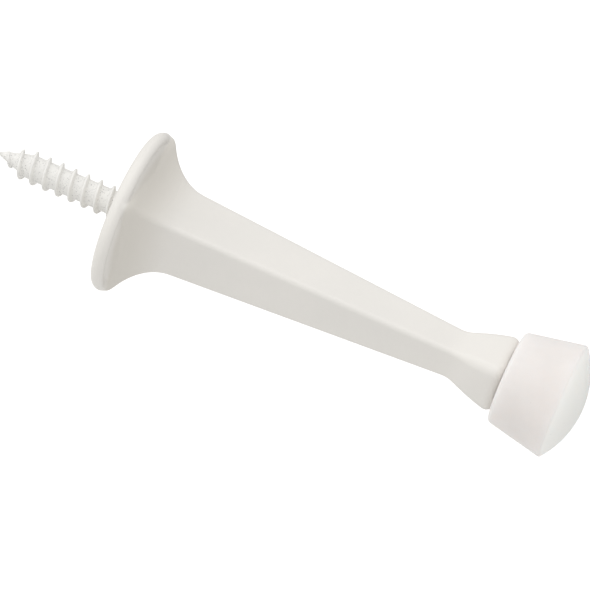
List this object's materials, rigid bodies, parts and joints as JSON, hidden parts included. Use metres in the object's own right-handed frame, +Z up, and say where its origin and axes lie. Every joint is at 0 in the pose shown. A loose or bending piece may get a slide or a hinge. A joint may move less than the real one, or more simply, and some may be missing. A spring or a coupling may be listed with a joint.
{
  "type": "rigid wall door stop",
  "caption": "Rigid wall door stop: a square tapered metal post flared from a round flange, with a wood screw at its foot and a domed rubber tip.",
  "frame": {"origin": "centre of the flange's back plane, where the screw enters the wall", "axes": "+X along the post from the wall to the tip, +Z up; two of the post's long edges face +Z and -Z, the other two +Y and -Y"},
  "size_m": [0.0954, 0.0254, 0.0254],
  "materials": {
    "casting_paint": "semi-gloss warm white paint on die-cast zinc",
    "screw_paint": "the same paint, thinner and speckled, on a steel screw",
    "tip_rubber": "matte off-white rubber"
  },
  "bodies": {
    "stop": {"post_casting": "casting_paint", "hanger_screw": "screw_paint"},
    "tip": {"rubber_tip": "tip_rubber"}
  },
  "joints": [
    {"name": "tip_pull_off", "type": "slide", "parent": "stop", "child": "tip", "axis": [1, 0, 0], "range_m": [0, 0.008]}
  ]
}
